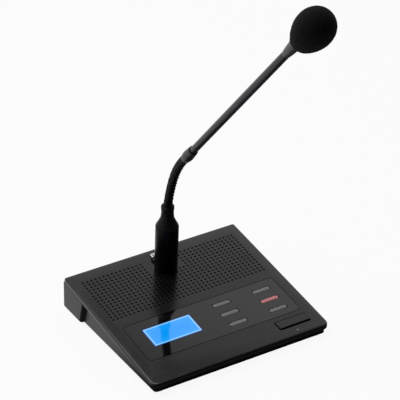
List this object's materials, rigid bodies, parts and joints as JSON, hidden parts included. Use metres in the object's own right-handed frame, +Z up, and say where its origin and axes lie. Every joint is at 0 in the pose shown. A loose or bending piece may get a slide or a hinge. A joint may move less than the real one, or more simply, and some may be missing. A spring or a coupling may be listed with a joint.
{
  "type": "conference delegate unit",
  "caption": "Desk conference delegate unit: wedge base with perforated top, gloss panel with lit display and keys, talk key, and a plug-in gooseneck microphone with foam windscreen",
  "frame": {"origin": "centre of the box round the unit at the desk surface, which the feet stand on", "axes": "+Z up, +X to the user's right, -Y towards the user; the microphone leans over towards -Y"},
  "size_m": [0.1716, 0.2928, 0.368],
  "materials": {
    "cover_paint": "satin",
    "case_plastic": "fine_texture",
    "socket_plastic": "satin",
    "board": "solder_resist",
    "panel_gloss": "polished",
    "display_window": "polished_lit",
    "display_glass": "polished",
    "backlight": "satin",
    "dome_film": "satin",
    "key_grey": "satin",
    "key_red": "satin",
    "talk_key": "satin",
    "switch": "moulded",
    "lamp_lens": "polished",
    "speaker_steel": "zinc_plated",
    "speaker_paper": "paper",
    "socket_metal": "die_cast_black",
    "cap_plastic": "satin",
    "blade_chrome": "polished",
    "plug_metal": "satin_black",
    "boot_plastic": "satin_black",
    "contact_gold": "gold_plated",
    "neck_steel": "satin_black",
    "stem_paint": "satin_black",
    "head_paint": "painted_satin_black",
    "capsule_metal": "plain",
    "foam": "open_cell_foam",
    "foot_rubber": "matt",
    "screw_steel": "black_oxide"
  },
  "bodies": {
    "base": {"top_cover": "cover_paint", "lower_case": "case_plastic", "rear_panel": "case_plastic", "line_socket_in": "socket_plastic", "line_socket_out": "socket_plastic", "mic_socket_insert": "socket_plastic", "main_board": "board", "key_board": "board", "talk_board": "board", "front_panel": "panel_gloss", "display_window": "display_window", "display_glass": "display_glass", "display_backlight": "backlight", "key_dome_sheet": "dome_film", "talk_switch": "switch", "talk_lamp": "lamp_lens", "speaker_basket": "speaker_steel", "speaker_magnet": "speaker_steel", "speaker_cone": "speaker_paper", "mic_socket_body": "socket_metal", "foot_front_left": "foot_rubber", "foot_front_right": "foot_rubber", "foot_rear_left": "foot_rubber", "foot_rear_right": "foot_rubber", "case_screw_front_left": "screw_steel", "case_screw_front_right": "screw_steel", "case_screw_rear_left": "screw_steel", "case_screw_rear_right": "screw_steel"},
    "talk_key": {"talk_key": "talk_key"},
    "release_latch": {"release_cap": "cap_plastic", "release_blade": "blade_chrome"},
    "microphone": {"plug_shell": "plug_metal", "plug_insert": "socket_plastic", "plug_pin_1": "contact_gold", "plug_pin_2": "contact_gold", "plug_pin_3": "contact_gold", "plug_boot": "boot_plastic"},
    "stem": {"stem_collar": "boot_plastic", "stem_tube": "stem_paint", "capsule_housing": "head_paint", "capsule": "capsule_metal", "windscreen": "foam"},
    "key_1": {"key_1": "key_grey"},
    "key_2": {"key_2": "key_grey"},
    "key_3": {"key_3": "key_grey"},
    "key_4": {"key_4": "key_red"},
    "key_5": {"key_5": "key_grey"},
    "key_6": {"key_6": "key_grey"},
    "neck_link_1": {"neck_link_1": "neck_steel"},
    "neck_link_2": {"neck_link_2": "neck_steel"},
    "neck_link_3": {"neck_link_3": "neck_steel"},
    "neck_link_4": {"neck_link_4": "neck_steel"},
    "neck_link_5": {"neck_link_5": "neck_steel"},
    "neck_link_6": {"neck_link_6": "neck_steel"},
    "neck_link_7": {"neck_link_7": "neck_steel"},
    "neck_link_8": {"neck_link_8": "neck_steel"}
  },
  "joints": [
    {"name": "talk_press", "type": "hinge", "parent": "base", "child": "talk_key", "pos_m": [0.05925, 0.00546, 0.01134], "axis": [1, 0, 0], "range_deg": [0, 5], "stiffness_Nm_per_rad": 0.14},
    {"name": "key_1_press", "type": "slide", "parent": "base", "child": "key_1", "axis": [0, 0.134, -0.991], "range_m": [0, 0.0004], "stiffness_N_per_m": 2000},
    {"name": "key_2_press", "type": "slide", "parent": "base", "child": "key_2", "axis": [0, 0.134, -0.991], "range_m": [0, 0.0004], "stiffness_N_per_m": 2000},
    {"name": "key_3_press", "type": "slide", "parent": "base", "child": "key_3", "axis": [0, 0.134, -0.991], "range_m": [0, 0.0004], "stiffness_N_per_m": 2000},
    {"name": "key_4_press", "type": "slide", "parent": "base", "child": "key_4", "axis": [0, 0.134, -0.991], "range_m": [0, 0.0004], "stiffness_N_per_m": 2000},
    {"name": "key_5_press", "type": "slide", "parent": "base", "child": "key_5", "axis": [0, 0.134, -0.991], "range_m": [0, 0.0004], "stiffness_N_per_m": 2000},
    {"name": "key_6_press", "type": "slide", "parent": "base", "child": "key_6", "axis": [0, 0.134, -0.991], "range_m": [0, 0.0004], "stiffness_N_per_m": 2000},
    {"name": "latch_press", "type": "slide", "parent": "base", "child": "release_latch", "axis": [0, 0.134, -0.991], "range_m": [0, 0.0012], "stiffness_N_per_m": 3000},
    {"name": "microphone_lift", "type": "slide", "parent": "base", "child": "microphone", "axis": [0, -0.134, 0.991], "range_m": [0, 0.02]},
    {"name": "neck_bend_1", "type": "hinge", "parent": "microphone", "child": "neck_link_1", "pos_m": [0, 0.10501, 0.09675], "axis": [1, 0, 0], "range_deg": [-10, 7.5]},
    {"name": "neck_swing_1", "type": "hinge", "parent": "neck_link_1", "child": "neck_link_2", "pos_m": [0, 0.10298, 0.1048], "axis": [0, 0.9385, 0.3453], "range_deg": [-10, 10]},
    {"name": "neck_bend_2", "type": "hinge", "parent": "neck_link_2", "child": "neck_link_3", "pos_m": [0, 0.10011, 0.11259], "axis": [1, 0, 0], "range_deg": [-10, 7.5]},
    {"name": "neck_swing_2", "type": "hinge", "parent": "neck_link_3", "child": "neck_link_4", "pos_m": [0, 0.09666, 0.12013], "axis": [0, 0.8813, 0.4726], "range_deg": [-10, 10]},
    {"name": "neck_bend_3", "type": "hinge", "parent": "neck_link_4", "child": "neck_link_5", "pos_m": [0, 0.09273, 0.12745], "axis": [1, 0, 0], "range_deg": [-10, 7.5]},
    {"name": "neck_swing_3", "type": "hinge", "parent": "neck_link_5", "child": "neck_link_6", "pos_m": [0, 0.08836, 0.1345], "axis": [0, 0.8161, 0.5779], "range_deg": [-10, 10]},
    {"name": "neck_bend_4", "type": "hinge", "parent": "neck_link_6", "child": "neck_link_7", "pos_m": [0, 0.08356, 0.14128], "axis": [1, 0, 0], "range_deg": [-10, 7.5]},
    {"name": "neck_swing_4", "type": "hinge", "parent": "neck_link_7", "child": "neck_link_8", "pos_m": [0, 0.07839, 0.14776], "axis": [0, 0.7443, 0.6678], "range_deg": [-10, 10]},
    {"name": "neck_bend_5", "type": "hinge", "parent": "neck_link_8", "child": "stem", "pos_m": [0, 0.07284, 0.15394], "axis": [1, 0, 0], "range_deg": [-10, 7.5]}
  ]
}
